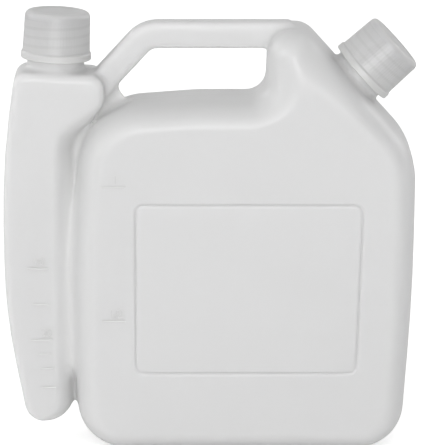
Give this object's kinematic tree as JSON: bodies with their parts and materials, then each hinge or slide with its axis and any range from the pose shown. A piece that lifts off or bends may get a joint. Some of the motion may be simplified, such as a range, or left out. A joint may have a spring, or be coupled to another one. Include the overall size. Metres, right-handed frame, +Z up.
{
  "type": "fuel mixing bottle",
  "caption": "Translucent blow-moulded fuel mixing bottle: petrol chamber with a hollow carrying handle, a slim side chamber for oil, and screw caps on both necks.",
  "frame": {"origin": "middle of the overall footprint, on the surface the bottle stands on", "axes": "+Z up, +X toward the petrol neck, -Y toward the viewer and the engraved frame"},
  "size_m": [0.1844, 0.056, 0.1973],
  "materials": {
    "bottle_plastic": "milky natural polyethylene, satin",
    "cap_plastic": "milky natural polyethylene, smoother than the bottle",
    "liner_foam": "dull pressed polyethylene foam"
  },
  "bodies": {
    "bottle": {"bottle": "bottle_plastic"},
    "oil_cap_seat": {"oil_cap_liner": "liner_foam"},
    "oil_cap": {"oil_cap": "cap_plastic"},
    "petrol_cap_seat": {"petrol_cap_liner": "liner_foam"},
    "petrol_cap": {"petrol_cap": "cap_plastic"}
  },
  "joints": [
    {"name": "oil_cap_lift", "type": "slide", "parent": "bottle", "child": "oil_cap_seat", "axis": [0.0471, 0, 0.9989], "range_m": [0, 0.02]},
    {"name": "oil_cap_turn", "type": "hinge", "parent": "oil_cap_seat", "child": "oil_cap", "pos_m": [-0.0687, 0, 0.17063], "axis": [0.0471, 0, 0.9989], "range_deg": [0, 1800]},
    {"name": "petrol_cap_lift", "type": "slide", "parent": "bottle", "child": "petrol_cap_seat", "axis": [0.7431, 0, 0.6691], "range_m": [0, 0.02]},
    {"name": "petrol_cap_turn", "type": "hinge", "parent": "petrol_cap_seat", "child": "petrol_cap", "pos_m": [0.06461, 0, 0.16607], "axis": [0.7431, 0, 0.6691], "range_deg": [0, 1800]}
  ],
  "couplings": [
    {"joint": "oil_cap_lift", "follows": "oil_cap_turn", "m_per_rad": 0.00063661},
    {"joint": "petrol_cap_lift", "follows": "petrol_cap_turn", "m_per_rad": 0.00063661}
  ]
}
